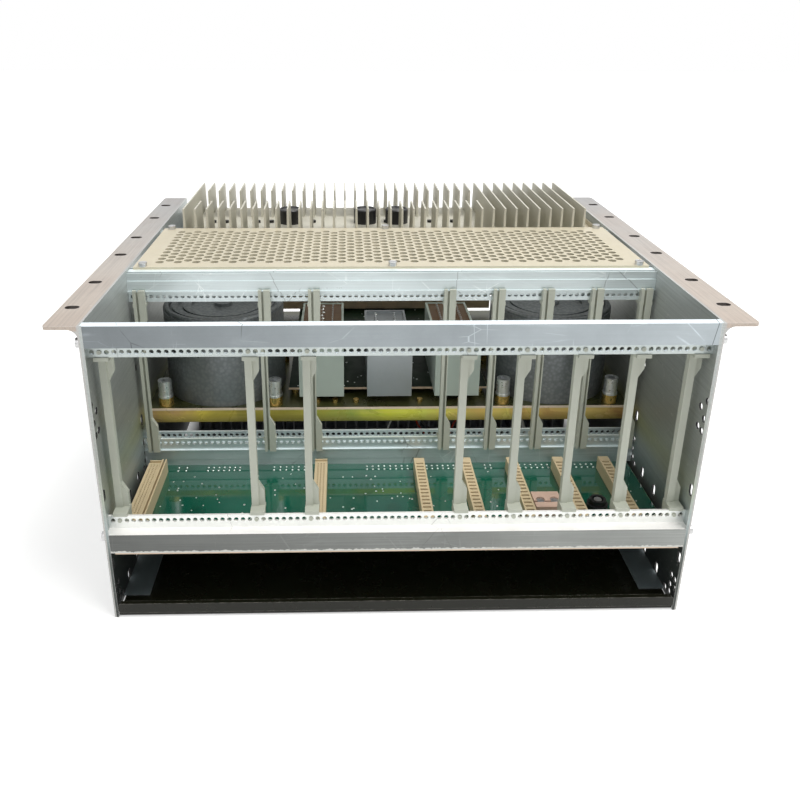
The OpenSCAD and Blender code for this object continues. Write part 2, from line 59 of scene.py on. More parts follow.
class Shader:
    """A node material under construction, with short names for the usual nodes."""

    def __init__(self, name):
        self.mat = bpy.data.materials.new(name)
        self.mat.use_nodes = True
        self.tree = self.mat.node_tree
        self.tree.nodes.clear()
        self.out = self.node("ShaderNodeOutputMaterial")
        self.bsdf = self.node("ShaderNodeBsdfPrincipled")
        self.link(self.bsdf.outputs[0], self.out.inputs[0])
        self.place = self.node("ShaderNodeTexCoord").outputs["Object"]

    def node(self, kind, **values):
        n = self.tree.nodes.new(kind)
        for key, value in values.items():
            setattr(n, key, value)
        return n

    def link(self, a, b):
        self.tree.links.new(a, b)

    def set(self, socket, value):
        if isinstance(value, bpy.types.NodeSocket):
            self.link(value, socket)
        else:
            socket.default_value = value

    def stretched(self, scale, rotation=(0, 0, 0)):
        m = self.node("ShaderNodeMapping")
        m.inputs["Scale"].default_value = scale
        m.inputs["Rotation"].default_value = rotation
        self.link(self.place, m.inputs["Vector"])
        return m.outputs[0]

    def noise(self, scale, detail=3.0, rough=0.5, vector=None, distortion=0.0):
        n = self.node("ShaderNodeTexNoise")
        n.inputs["Scale"].default_value = scale
        n.inputs["Detail"].default_value = detail
        n.inputs["Roughness"].default_value = rough
        n.inputs["Distortion"].default_value = distortion
        self.link(vector or self.place, n.inputs["Vector"])
        return n.outputs["Fac"]

    def cracks(self, scale, vector=None, randomness=1.0):
        v = self.node("ShaderNodeTexVoronoi", feature="DISTANCE_TO_EDGE")
        v.inputs["Scale"].default_value = scale
        v.inputs["Randomness"].default_value = randomness
        self.link(vector or self.place, v.inputs["Vector"])
        return v.outputs["Distance"]

    def cells(self, scale, vector=None):
        v = self.node("ShaderNodeTexVoronoi")
        v.inputs["Scale"].default_value = scale
        self.link(vector or self.place, v.inputs["Vector"])
        return v.outputs["Distance"]

    def span(self, value, a, b, lo=0.0, hi=1.0):
        """value between a and b becomes lo to hi, clamped."""
        n = self.node("ShaderNodeMapRange")
        self.link(value, n.inputs["Value"])
        n.inputs["From Min"].default_value = a
        n.inputs["From Max"].default_value = b
        n.inputs["To Min"].default_value = lo
        n.inputs["To Max"].default_value = hi
        return n.outputs["Result"]

    def math(self, operation, a, b=0.0):
        n = self.node("ShaderNodeMath", operation=operation)
        self.set(n.inputs[0], a)
        self.set(n.inputs[1], b)
        return n.outputs[0]

    def mix(self, factor, a, b):
        n = self.node("ShaderNodeMix", data_type="RGBA")
        self.set(n.inputs["Factor"], factor)
        for socket, value in ((n.inputs[6], a), (n.inputs[7], b)):
            self.set(socket, value if isinstance(value, bpy.types.NodeSocket) else rgba(value))
        return n.outputs[2]

    def tint(self, a, b):
        """One colour times another."""
        n = self.node("ShaderNodeMix", data_type="RGBA", blend_type="MULTIPLY")
        n.inputs["Factor"].default_value = 1.0
        self.link(a, n.inputs[6])
        self.link(b, n.inputs[7])
        return n.outputs[2]

    def ramp(self, value, stops):
        """A colour from stops of (place, colour)."""
        n = self.node("ShaderNodeValToRGB")
        self.link(value, n.inputs[0])
        band = n.color_ramp
        while len(band.elements) < len(stops):
            band.elements.new(0.5)
        for element, (place, color) in zip(band.elements, stops):
            element.position = place
            element.color = rgba(color)
        return n.outputs[0]

    def axis(self, index):
        n = self.node("ShaderNodeSeparateXYZ")
        self.link(self.place, n.inputs[0])
        return n.outputs[index]

    def facing(self, index):
        """A component of the true normal."""
        g = self.node("ShaderNodeNewGeometry")
        n = self.node("ShaderNodeSeparateXYZ")
        self.link(g.outputs["True Normal"], n.inputs[0])
        return n.outputs[index]

    def edges(self, radius):
        """1 along hard edges, 0 on flat faces."""
        bevel = self.node("ShaderNodeBevel", samples=4)
        bevel.inputs["Radius"].default_value = radius
        g = self.node("ShaderNodeNewGeometry")
        dot = self.node("ShaderNodeVectorMath", operation="DOT_PRODUCT")
        self.link(bevel.outputs[0], dot.inputs[0])
        self.link(g.outputs["True Normal"], dot.inputs[1])
        return self.span(dot.outputs["Value"], 0.995, 0.85)

    def bump(self, height, strength, distance=0.0004, normal=None):
        n = self.node("ShaderNodeBump")
        n.inputs["Strength"].default_value = strength
        n.inputs["Distance"].default_value = distance
        self.link(height, n.inputs["Height"])
        if normal is not None:
            self.link(normal, n.inputs["Normal"])
        return n.outputs[0]

    def finish(self, color, rough, metal=0.0, normal=None, **sockets):
        b = self.bsdf.inputs
        self.set(b["Base Color"], color if isinstance(color, bpy.types.NodeSocket) else rgba(color))
        self.set(b["Roughness"], rough)
        self.set(b["Metallic"], metal)
        if normal is not None:
            self.link(normal, b["Normal"])
        for key, value in sockets.items():
            b[key.replace("_", " ")].default_value = value
        return self.mat


def rgba(c):
    return (c[0], c[1], c[2], 1.0)


def shade(c, k):
    return tuple(min(1.0, v * k) for v in c)


# ---------------------------------------------------------------- materials


def aluminium(name, color, rough, along, metal=0.85, scratches=0.5, grime=0.3,
              low_edge=None, drawn=1.0, top=1.0, ramp=None, ledge=None, lip=None):
    """Drawn or sawn aluminium: lines along one axis, patches, scratches and grime.

    drawn is the strength of the lines, top is a painted highlight that brightens what faces up
    and ramp is a painted reflection, a shade from -X to +X. ledge is a painted highlight colour
    for the faces that look up, and lip a painted highlight colour for the lip behind a near rail.
    low_edge is the height of a raw, pale bottom edge.
    """
    s = Shader(name)
    scale = [260.0, 260.0, 260.0]
    scale["XYZ".index(along)] = 3.0
    lines = s.noise(4.0, 4.0, 0.6, s.stretched(scale))
    patches = s.noise(14.0, 5.0, 0.6)
    fine = s.noise(900.0, 2.0, 0.5)
    low, high = 1.0 - 0.16 * drawn, 1.0 + 0.1 * drawn
    tone = s.mix(s.span(lines, 0.3, 0.7), shade(color, low), shade(color, high))
    tone = s.mix(s.span(patches, 0.35, 0.75, 0.0, grime), tone, shade(color, 0.62))
    smear = s.noise(24.0, 5.0, 0.6, s.stretched((0.6, 1.0, 2.2), (0.0, 0.4, 0.0)), 0.6)
    tone = s.mix(s.span(smear, 0.58, 0.72, 0.0, 0.35), tone, shade(color, 1.35))
    rub = s.cracks(46.0, s.stretched((0.35, 1.0, 1.6), (0.3, 0.5, 0.9)))
    rub_2 = s.cracks(30.0, s.stretched((1.0, 0.5, 0.25), (0.9, 0.2, -0.6)))
    broken = s.span(s.noise(38.0, 3.0), 0.5, 0.62)
    marks = s.math("MAXIMUM", s.span(rub, 0.012, 0.0), s.span(rub_2, 0.009, 0.0))
    marks = s.math("MULTIPLY", marks, broken)
    marks = s.math("MULTIPLY", marks, scratches)
    tone = s.mix(marks, tone, shade(color, 1.45))
    edge = s.edges(0.0006)
    tone = s.mix(s.math("MULTIPLY", edge, 0.55), tone, shade(color, 1.35))
    # painted reflection: ramp shades the tone from darker at -X to lighter at +X
    if ramp is not None:
        painted_reflection_across = s.span(s.axis(0), -0.215, 0.215)
        tone = s.tint(tone, s.mix(painted_reflection_across, (ramp[0],) * 3, (ramp[1],) * 3))
    # painted highlight: the lip behind a near rail gets a lighter colour
    if lip is not None:
        tone = s.mix(s.span(s.axis(1), -0.193, -0.191), tone, lip)
    # painted highlight: ledge, or top, lightens the faces that look up
    up = s.span(s.facing(2), 0.6, 0.95)
    if ledge is not None:
        tone = s.mix(up, tone, ledge)
    elif top != 1.0:
        tone = s.mix(up, tone, shade(color, top))
    if low_edge is not None:
        height = s.math("ADD", s.axis(2), s.span(s.noise(300.0, 4.0), 0.3, 0.7, -0.0008, 0.0008))
        raw = s.span(height, low_edge + 0.0003, low_edge)
        tone = s.mix(raw, tone, (0.55, 0.55, 0.52))
    roughness = s.span(lines, 0.2, 0.8, rough - 0.07, rough + 0.07)
    roughness = s.math("ADD", roughness, s.span(fine, 0.3, 0.7, -0.03, 0.03))
    roughness = s.math("ADD", roughness, s.span(patches, 0.3, 0.8, 0.0, 0.14))
    dark = s.cracks(21.0, s.stretched((0.7, 1.0, 0.5), (0.2, 0.7, 1.3)))
    nicks = s.math("MULTIPLY", s.span(dark, 0.006, 0.0), s.span(s.noise(17.0, 3.0), 0.55, 0.62))
    tone = s.mix(s.math("MULTIPLY", nicks, scratches), tone, shade(color, 0.25))
    relief = s.math("ADD", s.math("MULTIPLY", lines, 0.6), s.math("MULTIPLY", marks, -0.8))
    normal = s.bump(relief, 0.22, 0.00012)
    return s.finish(tone, roughness, s.span(up, 0.0, 1.0, metal, 0.25), normal)


def side_plates(name):
    """The plates: greyer inside, darker low down as painted shade, with a painted yellow glow at the
    deck's height, pale outside, and painted shade in the holes and slots.
    """
    s = Shader(name)
    x = s.math("ABSOLUTE", s.axis(0))
    z = s.axis(2)
    cloud = s.noise(16.0, 5.0, 0.62)
    lines = s.noise(4.0, 4.0, 0.6, s.stretched((220.0, 4.0, 220.0)))
    speck = s.noise(320.0, 4.0, 0.65)
    # painted shade: the inner face is nearly black low down and lighter higher up
    inner = s.ramp(s.span(z, 0.0, 0.24), [
        (0.0, (0.045, 0.05, 0.048)), (0.22, (0.10, 0.115, 0.105)),
        (0.34, (0.40, 0.46, 0.46)), (0.44, (0.42, 0.46, 0.38)), (0.55, (0.36, 0.38, 0.35)),
        (1.0, (0.50, 0.53, 0.52))
    ])
    # painted light: a yellow glow band on the inner face at the deck's height
    glow = s.math("MULTIPLY", s.span(z, 0.088, 0.1), s.span(z, 0.118, 0.106))
    glow = s.math("MULTIPLY", glow, s.span(s.axis(1), -0.17, -0.06))
    inner = s.mix(s.math("MULTIPLY", glow, 0.5), inner, (0.36, 0.36, 0.08))
    outer = s.mix(s.span(cloud, 0.3, 0.7), (0.42, 0.42, 0.41), (0.56, 0.55, 0.53))
    flange = s.ramp(s.span(s.axis(1), -0.2, 0.2), [
        (0.0, (0.54, 0.46, 0.39)), (0.35, (0.52, 0.47, 0.42)), (1.0, (0.36, 0.36, 0.36))
    ])
    flange = s.mix(s.span(cloud, 0.4, 0.7, 0.0, 0.45), flange, (0.44, 0.37, 0.33))
    is_inner = s.span(x, 0.21700, 0.21680)
    tone = s.mix(is_inner, outer, inner)
    is_flange = s.math("MULTIPLY", s.span(z, 0.2365, 0.2375), s.span(x, 0.2182, 0.2186))
    tone = s.mix(is_flange, tone, flange)
    tone = s.mix(s.span(lines, 0.45, 0.75, 0.0, 0.3), tone, (0.12, 0.12, 0.12))
    tone = s.mix(s.span(speck, 0.62, 0.72, 0.0, 0.3), tone, (0.8, 0.8, 0.78))
    tone = s.mix(s.math("MULTIPLY", s.edges(0.0006), 0.6), tone, (0.75, 0.74, 0.72))
    # painted shade: the walls of the holes are made almost black
    painted_hole_shade = s.span(s.math("ABSOLUTE", s.facing(0)), 0.8, 0.5)
    painted_hole_shade = s.math("MULTIPLY", painted_hole_shade, s.span(x, 0.2184, 0.21826))
    painted_hole_shade = s.math("MULTIPLY", painted_hole_shade, s.span(z, 0.2366, 0.2360))
    painted_hole_shade = s.math("MULTIPLY", painted_hole_shade, s.span(z, 0.001, 0.002))
    painted_hole_shade = s.math("MULTIPLY", painted_hole_shade, s.span(s.math("ABSOLUTE", s.axis(1)), 0.198, 0.197))
    tone = s.mix(painted_hole_shade, tone, (0.012, 0.012, 0.012))
    # painted shade: the walls of the slots in the flange are made dark
    slot = s.math("MULTIPLY", s.span(s.facing(2), 0.5, 0.3), s.span(x, 0.2190, 0.2192))
    slot = s.math("MULTIPLY", slot, s.span(x, 0.2408, 0.2406))
    slot = s.math("MULTIPLY", slot, s.span(s.math("ABSOLUTE", s.axis(1)), 0.1985, 0.1975))
    tone = s.mix(slot, tone, (0.06, 0.05, 0.045))
    roughness = s.span(cloud, 0.3, 0.7, 0.36, 0.52)
    normal = s.bump(s.math("ADD", lines, s.math("MULTIPLY", speck, 0.4)), 0.2, 0.00012)
    return s.finish(tone, roughness, 0.55, normal)


def enamel(name, color, rough, metal=0.0, speck=0.35, wear=None, peel=0.12, coat=0.0):
    """Paint or anodising with orange peel, slight stains and worn edges."""
    s = Shader(name)
    large = s.noise(9.0, 5.0, 0.6)
    small = s.noise(210.0, 3.0, 0.6)
    grain = s.noise(1500.0, 2.0, 0.5)
    tone = s.mix(s.span(large, 0.3, 0.7), shade(color, 0.93), shade(color, 1.05))
    tone = s.mix(s.span(small, 0.55, 0.75, 0.0, speck), tone, shade(color, 0.78))
    tone = s.mix(s.span(grain, 0.3, 0.7, 0.0, 0.12), tone, shade(color, 0.8))
    if wear is not None:
        worn = s.math("MULTIPLY", s.edges(0.0005), s.span(s.noise(160.0, 3.0), 0.4, 0.6, 0.2, 1.0))
        tone = s.mix(worn, tone, wear)
    roughness = s.span(s.noise(60.0, 4.0), 0.3, 0.7, rough - 0.06, rough + 0.08)
    normal = s.bump(s.math("ADD", small, s.math("MULTIPLY", grain, 0.5)), peel, 0.0002)
    gloss = 0.5 if coat == 0.0 else 0.25
    return s.finish(tone, roughness, metal, normal, Coat_Weight=coat, Coat_Roughness=0.08,
                    Specular_IOR_Level=gloss)


def moulded(name, color, rough, speck=0.2, peel=0.15, wear=1.18):
    """Moulded plastic: fine spark texture, flow marks, dusty stains, lighter edges."""
    s = Shader(name)
    flow = s.noise(18.0, 3.0, 0.5, s.stretched((1.0, 1.0, 0.3)), 0.8)
    spark = s.noise(1100.0, 2.0, 0.6)
    stain = s.noise(55.0, 5.0, 0.65)
    tone = s.mix(s.span(flow, 0.3, 0.7), shade(color, 0.94), shade(color, 1.05))
    tone = s.mix(s.span(stain, 0.52, 0.78, 0.0, speck), tone, shade(color, 0.72))
    tone = s.mix(s.math("MULTIPLY", s.edges(0.0004), 0.7), tone, shade(color, wear))
    roughness = s.span(stain, 0.3, 0.7, rough - 0.05, rough + 0.1)
    return s.finish(tone, roughness, 0.0, s.bump(spark, peel, 0.00015))


def plated(name, color, rough, dark=0.5):
    """Turned and plated metal for screws, posts and pins."""
    s = Shader(name)
    turned = s.noise(5.0, 2.0, 0.5, s.stretched((500.0, 500.0, 900.0)))
    spots = s.noise(420.0, 4.0, 0.6)
    tone = s.mix(s.span(turned, 0.3, 0.7), shade(color, 0.86), shade(color, 1.08))
    tone = s.mix(s.span(spots, 0.58, 0.72, 0.0, dark), tone, shade(color, 0.45))
    tone = s.mix(s.math("MULTIPLY", s.edges(0.0003), 0.8), tone, shade(color, 1.3))
    roughness = s.span(spots, 0.3, 0.7, rough - 0.06, rough + 0.12)
    return s.finish(tone, roughness, 0.95, s.bump(turned, 0.15, 0.0001))


def board(name, color, track, coat=1.0, gloss=0.5):
    """A glossy circuit board: solder mask over faint copper areas, with weave at the surface."""
    s = Shader(name)
    blocks = s.cells(34.0, s.stretched((1.0, 0.5, 1.0)))
    copper = s.span(blocks, 0.34, 0.36)
    cloud = s.noise(12.0, 4.0, 0.55)
    tone = s.mix(s.span(cloud, 0.3, 0.7), shade(color, 0.75), shade(color, 1.25))
    tone = s.mix(s.math("MULTIPLY", copper, 0.22), tone, track)
    weave = s.noise(5.0, 2.0, 0.5, s.stretched((420.0, 420.0, 60.0)))
    height = s.math("ADD", s.math("MULTIPLY", copper, 0.5), s.math("MULTIPLY", weave, 0.15))
    dull = 0.08 if coat > 0 else 0.45
    roughness = s.span(s.noise(90.0, 4.0), 0.35, 0.7, dull, dull + 0.12)
    tone = s.mix(s.math("MULTIPLY", s.edges(0.0005), 0.8), tone, (0.55, 0.50, 0.30))
    side = s.span(s.math("ABSOLUTE", s.facing(2)), 0.5, 0.3)
    tone = s.mix(side, tone, (0.85, 0.66, 0.48))
    normal = s.bump(height, 0.12, 0.00004)
    return s.finish(tone, roughness, 0.0, normal, Coat_Weight=coat, Coat_Roughness=0.03,
                    Specular_IOR_Level=gloss)


def chromate(name):
    """Yellow chromated steel: patches of colour along the flange, glossy on top, where the dark colour
    is a painted reflection, and a pale painted highlight along the fold.
    """
    s = Shader(name)
    cloud = s.noise(16.0, 5.0, 0.6, distortion=1.2)
    streak = s.noise(4.0, 3.0, 0.6, s.stretched((6.0, 90.0, 90.0)))
    shift = s.span(cloud, 0.3, 0.7, -0.022, 0.022)
    along = s.span(s.math("ADD", s.axis(0), shift), -0.215, 0.215)
    tone = s.ramp(along, [
        (0.0, (0.62, 0.40, 0.18)), (0.10, (0.90, 0.70, 0.10)), (0.20, (0.45, 0.36, 0.06)),
        (0.34, (0.55, 0.48, 0.08)), (0.42, (0.40, 0.50, 0.09)), (0.50, (0.95, 0.95, 0.08)),
        (0.57, (1.0, 1.0, 0.18)), (0.66, (0.95, 0.68, 0.20)), (0.74, (1.0, 0.85, 0.20)),
        (0.80, (0.70, 0.42, 0.14)), (0.90, (0.95, 0.70, 0.22)), (1.0, (0.50, 0.26, 0.10))
    ])
    tone = s.mix(s.span(streak, 0.5, 0.75, 0.0, 0.3), tone, (1.0, 0.78, 0.25))
    down = s.span(s.axis(2), 0.1005, 0.0925, 0.0, 0.75)
    tone = s.mix(down, tone, (0.16, 0.14, 0.03))
    # painted highlight: a pale line along the fold, on the flange's front and the deck's front edge
    lip = s.math("MULTIPLY", s.span(s.axis(2), 0.1030, 0.1040), s.span(s.facing(1), -0.2, -0.6))
    tone = s.mix(lip, tone, (0.95, 0.78, 0.62))
    # painted reflection: the top is given a dark colour
    up = s.span(s.facing(2), 0.6, 0.95)
    fold_highlight = s.span(s.axis(1), -0.0530, -0.0538)
    top = s.mix(s.span(cloud, 0.35, 0.65), (0.030, 0.036, 0.014), (0.075, 0.078, 0.022))
    top = s.mix(fold_highlight, top, (0.95, 0.78, 0.62))
    tone = s.mix(up, tone, top)
    roughness = s.span(cloud, 0.3, 0.7, 0.22, 0.36)
    return s.finish(tone, roughness, 0.15, s.bump(streak, 0.15, 0.0002))


def hammered(name, color):
    """Grey hammer-finish enamel on the cans."""
    s = Shader(name)
    dents = s.cells(330.0)
    cloud = s.noise(20.0, 4.0)
    tone = s.mix(s.span(dents, 0.1, 0.7), shade(color, 1.15), shade(color, 0.8))
    tone = s.mix(s.span(cloud, 0.35, 0.7, 0.0, 0.5), tone, shade(color, 0.7))
    roughness = s.span(dents, 0.0, 0.8, 0.3, 0.48)
    return s.finish(tone, roughness, 0.55, s.bump(dents, 0.3, 0.0003))


def look(maker, *values, **named):
    """A recipe for a material, made under the name of its slot when a node asks for it."""
    return lambda name: maker(name, *values, **named)


LOOKS = {
    "plate_aluminium": look(side_plates),
    # painted light: the rail aluminium is paler than the near rail's copy to make up for its shade, and
    # top=1.35 is a painted highlight on its up faces
    "rail_aluminium": look(aluminium, (0.66, 0.73, 0.74), 0.3, "X", 0.6, 0.6, 0.2, drawn=0.5, top=1.35),
    "screw_steel": look(plated, (0.60, 0.60, 0.60), 0.32),
    "screw_bright": look(plated, (0.85, 0.87, 0.88), 0.3, 0.02),
    "dark_screw": look(plated, (0.05, 0.05, 0.05), 0.4),
    "guide_plastic": look(moulded, (0.52, 0.54, 0.46), 0.42),
    "board_green": look(board, (0.002, 0.085, 0.05), (0.008, 0.16, 0.10)),
    "board_dark": look(board, (0.008, 0.018, 0.008), (0.012, 0.04, 0.015), 0.0, 0.08),
    "connector_plastic": look(moulded, (0.66, 0.53, 0.33), 0.5),
    "block_plastic": look(moulded, (0.66, 0.46, 0.36), 0.5),
    "black_plastic": look(moulded, (0.012, 0.012, 0.013), 0.32, wear=3.0),
    "cover_black": look(enamel, (0.011, 0.011, 0.006), 0.24, 0.0, 0.3, (0.30, 0.29, 0.26), 0.06, 0.15),
    "strip_grey": look(enamel, (0.17, 0.20, 0.21), 0.55, 0.2, 0.4, (0.4, 0.42, 0.42)),
    "panel_cream": look(enamel, (0.60, 0.54, 0.40), 0.42, 0.0, 0.3, (0.86, 0.82, 0.70)),
    "heatsink_light": look(enamel, (0.58, 0.56, 0.47), 0.5, 0.2, 0.35, (0.85, 0.84, 0.76)),
    "heatsink_dark": look(enamel, (0.24, 0.25, 0.26), 0.55, 0.2, 0.3, (0.5, 0.5, 0.5)),
    "deck_gold": look(chromate),
    "can_grey": look(hammered, (0.25, 0.27, 0.28)),
    "brass_gold": look(plated, (0.72, 0.52, 0.18), 0.28),
    "module_white": look(moulded, (0.52, 0.60, 0.54), 0.42, 0.1),
    "module_grey": look(enamel, (0.40, 0.43, 0.45), 0.36, 0.6, 0.3, (0.7, 0.7, 0.7)),
    "lid_brown": look(moulded, (0.14, 0.075, 0.03), 0.4, 0.4),
}

slot_of = {p["node"]: p["material_slot"] for p in frame["record"]["subparts"]}
made = {}
for node, obj in NODES.items():
    slot_name = slot_of[node]
    if slot_name not in made:
        made[slot_name] = LOOKS[slot_name](slot_name)
    for slot in obj.material_slots:
        slot.material = made[slot_name]


def repaint(node, material):
    for slot in NODES[node].material_slots:
        slot.material = material


# painted shade: the near rail is a darker copy of the rail aluminium, with a painted reflection ramp
# and painted highlights on its up faces and its lip
repaint("front_rail_near", aluminium("near_rail_painted_light", (0.33, 0.365, 0.385), 0.4, "X", 0.7, 1.0, 0.55,
                                     drawn=0.3, top=2.5, ramp=(0.7, 1.35), lip=(0.55, 0.60, 0.59)))
# painted shade: the low rail is a darker copy of the rail aluminium standing in for a dark reflection,
# with a painted reflection ramp and painted highlights on its ledge and lip; the raw bottom edge is its
# own
low_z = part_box("rear_rail_near")[0][2]
repaint("rear_rail_near", aluminium("low_rail_painted_light", (0.25, 0.26, 0.25), 0.34, "X", 0.7, 0.35, 0.5,
                                    low_z + 0.0012, ramp=(0.55, 1.3), ledge=(1.0, 0.98, 0.95),
                                    lip=(0.85, 0.87, 0.85)))


# ---------------------------------------------------------------- pieces


def piece(name, bm, material, smooth=False):
    mesh = bpy.data.meshes.new(name)
    bm.to_mesh(mesh)
    bm.free()
    mesh.materials.append(material)
    if smooth:
        for p in mesh.polygons:
            p.use_smooth = True
    obj = bpy.data.objects.new(name, mesh)
    bpy.context.scene.collection.objects.link(obj)
    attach(obj, "root")
    return obj


def dome(bm, x, y, z, r, h, sides=8):
    """A low round blob with a rim and a flat crown, standing on z."""
    rings = [(r, 0.0), (r * 0.8, h * 0.65), (r * 0.35, h)]
    loops = []
    for radius, up in rings:
        loops.append([
            bm.verts.new((x + radius * math.cos(2 * math.pi * i / sides),
                          y + radius * math.sin(2 * math.pi * i / sides), z + up))
            for i in range(sides)
        ])
    for a, b in zip(loops, loops[1:]):
        for i in range(sides):
            j = (i + 1) % sides
            bm.faces.new((a[i], a[j], b[j], b[i]))
    bm.faces.new(loops[-1])
    bm.faces.new(loops[0][::-1])


def box(bm, lo, hi):
    m = Matrix.Translation([(a + b) / 2 for a, b in zip(lo, hi)])
    m = m @ Matrix.Diagonal([b - a for a, b in zip(lo, hi)] + [1.0])
    bmesh.ops.create_cube(bm, size=1.0, matrix=m)


random.seed(7)

board_lo, board_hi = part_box("backplane")
conn_lo, conn_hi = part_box("slot_connectors")
solder = plated("solder", (0.78, 0.80, 0.78), 0.25, 0.15)

SLOTTED_X = [0.0244 + k * 0.04064 for k in range(5)]
PINNED_X = [-0.2047, -0.061]
CONNECTOR_Y = -0.133
PIN_PITCH = 0.00254
PINS = 32
VIAS = 150

# vias, where nothing stands on the backplane
busy = [(-0.2165, -0.192), (-0.068, -0.054), (0.109, 0.135), (0.155, 0.176)]
busy += [(x - 0.0062, x + 0.0062) for x in SLOTTED_X]
bm = bmesh.new()
for i in range(VIAS):
    x = random.uniform(board_lo[0] + 0.006, board_hi[0] - 0.006)
    y = random.uniform(conn_lo[1] + 0.004, conn_hi[1] - 0.004)
    if all(not a <= x <= b for a, b in busy):
        dome(bm, x, y, board_hi[2], random.choice((0.0007, 0.0009)), 0.0004)
piece("backplane_vias", bm, solder)

# the tails of the connectors' pins under the backplane
half = 0.0003
bm = bmesh.new()
for middle in PINNED_X + SLOTTED_X:
    for row in (-1, 0, 1):
        for i in range(PINS):
            x = middle + row * PIN_PITCH
            y = CONNECTOR_Y + (i - (PINS - 1) / 2) * PIN_PITCH
            low, high = board_lo[2] - 0.0035, board_lo[2] + 0.0001
            box(bm, (x - half, y - half, low), (x + half, y + half, high))
piece("backplane_tails", bm, solder)

# the card guides as the photograph shows them, in millimetres from the peg in the lip's hole
LIP_T = 2.0
GUIDE_LEFT, GUIDE_RIGHT, GUIDE_D = -3.9, 1.4, 5.5
GROOVE_LEFT, GROOVE_RIGHT, GROOVE_D = -1.3, 0.5, 3.2
FLARE, FLARE_L, TAPER = 5.8, 15.0, 8.0
TAB_LEFT, TAB_RIGHT, TAB_H = -4.4, 6.2, 2.8
GUIDE_SLOTS = (-41, -21, -13, 9, 17, 25, 33, 41)
LOW_ROW, HIGH_ROW = 81.8, 218.0
HP = 5.08
SLIM = 0.02


def guide_end(off, start, edge, peg):
    """Heights and outlines of a guide's end, from its tip inwards."""
    body = (GUIDE_LEFT, off, GUIDE_RIGHT, FLARE)
    foot = (TAB_LEFT, 0.0, FLARE - 0.3, FLARE)
    tab = (TAB_LEFT, -LIP_T - 1.1, TAB_RIGHT - 0.1, TAB_RIGHT)
    slim = (GUIDE_LEFT, off, GUIDE_RIGHT, GUIDE_RIGHT + SLIM)
    over = edge + 0.1
    levels = [(start, body)]
    last = body
    if off > 0:
        levels += [(peg - 1.7, body), (peg - 1.7, foot)]
        last = foot
    levels += [(over, last), (over, tab), (over + TAB_H, tab), (over + TAB_H, body)]
    return levels + [(edge + FLARE_L, body), (edge + FLARE_L + TAPER, slim)]


def guide_outline(off, shape):
    left, back, right, reach = shape
    front = off + GUIDE_D
    floor_y = front - GROOVE_D
    step = off + 1.5
    return [
        (left, back), (right, back), (right, step), (reach, step), (reach, front),
        (GROOVE_RIGHT, front), (GROOVE_RIGHT, floor_y), (GROOVE_LEFT, floor_y),
        (GROOVE_LEFT, front), (left, front)
    ]


def guides(name, y_lip, side, off, start, stop, low, high, lug):
    """A row of guides on the lips at y_lip; side says which way they look."""
    bm = bmesh.new()
    levels = guide_end(off, start, low, LOW_ROW)
    upper = guide_end(off, -stop, -high, -HIGH_ROW)
    levels += [(-z, shape) for z, shape in reversed(upper)]
    for slot in GUIDE_SLOTS:
        def at(x, y, z):
            return Vector((slot * HP + x, y_lip + side * y, z)) * MM

        rings = [
            [bm.verts.new(at(x, y, z)) for x, y in guide_outline(off, shape)]
            for z, shape in levels
        ]
        count = len(rings[0])
        for a, b in zip(rings, rings[1:]):
            for i in range(count):
                j = (i + 1) % count
                bm.faces.new((a[i], a[j], b[j], b[i]))
        bm.faces.new(rings[0][::-1])
        bm.faces.new(rings[-1])
        for z in (LOW_ROW, HIGH_ROW):
            middle = at(0, (off - LIP_T - 1) / 2, z)
            turn = Matrix.Translation(middle) @ Matrix.Rotation(math.pi / 2, 4, "X")
            bmesh.ops.create_cone(bm, cap_ends=True, segments=16, radius1=1.55 * MM,
                                  radius2=1.55 * MM, depth=(off + LIP_T + 1) * MM, matrix=turn)
        if lug > 0:
            for x0, x1 in ((GUIDE_LEFT, GROOVE_LEFT), (GROOVE_RIGHT, FLARE)):
                a = at(x0, GUIDE_D - GROOVE_D + 0.1, stop - 0.5)
                b = at(x1, GUIDE_D - 0.02, stop + lug)
                box(bm, [min(p, q) for p, q in zip(a, b)], [max(p, q) for p, q in zip(a, b)])
    bmesh.ops.remove_doubles(bm, verts=bm.verts, dist=0.000002)
    bmesh.ops.dissolve_degenerate(bm, edges=bm.edges, dist=0.000001)
    bmesh.ops.recalc_face_normals(bm, faces=bm.faces)
    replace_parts(piece(name, bm, made["guide_plastic"]), name)


guides("card_guides_near", -188.425, 1, 5.0, 75.4, 224.4, 85.6, 214.2, 0.0)
guides("card_guides_centre", -74.275, -1, 0.0, 75.4, 221.9, 85.6, 213.4, 2.5)

# the inner board goes on towards the far side, on posts
inner_lo, inner_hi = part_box("inner_board")
bm = bmesh.new()
box(bm, (inner_lo[0], inner_hi[1], inner_lo[2]), (inner_hi[0], 0.190, inner_hi[2]))
piece("inner_board_far", bm, made["board_dark"])
bm = bmesh.new()
for x in (-0.086, 0.0, 0.086):
    bmesh.ops.create_cone(bm, cap_ends=True, segments=6, radius1=0.003, radius2=0.003, depth=0.005,
                          matrix=Matrix.Translation((x, 0.184, inner_lo[2] - 0.0025)))
piece("inner_board_far_posts", bm, made["brass_gold"])

# white marks and pads on the inner board
bm = bmesh.new()
for i in range(90):
    x = random.uniform(inner_lo[0] + 0.004, inner_hi[0] - 0.004)
    y = random.uniform(inner_lo[1] + 0.003, 0.185)
    dome(bm, x, y, inner_hi[2], random.choice((0.0005, 0.0008, 0.0011)), 0.0005)
piece("inner_board_joints", bm, solder)

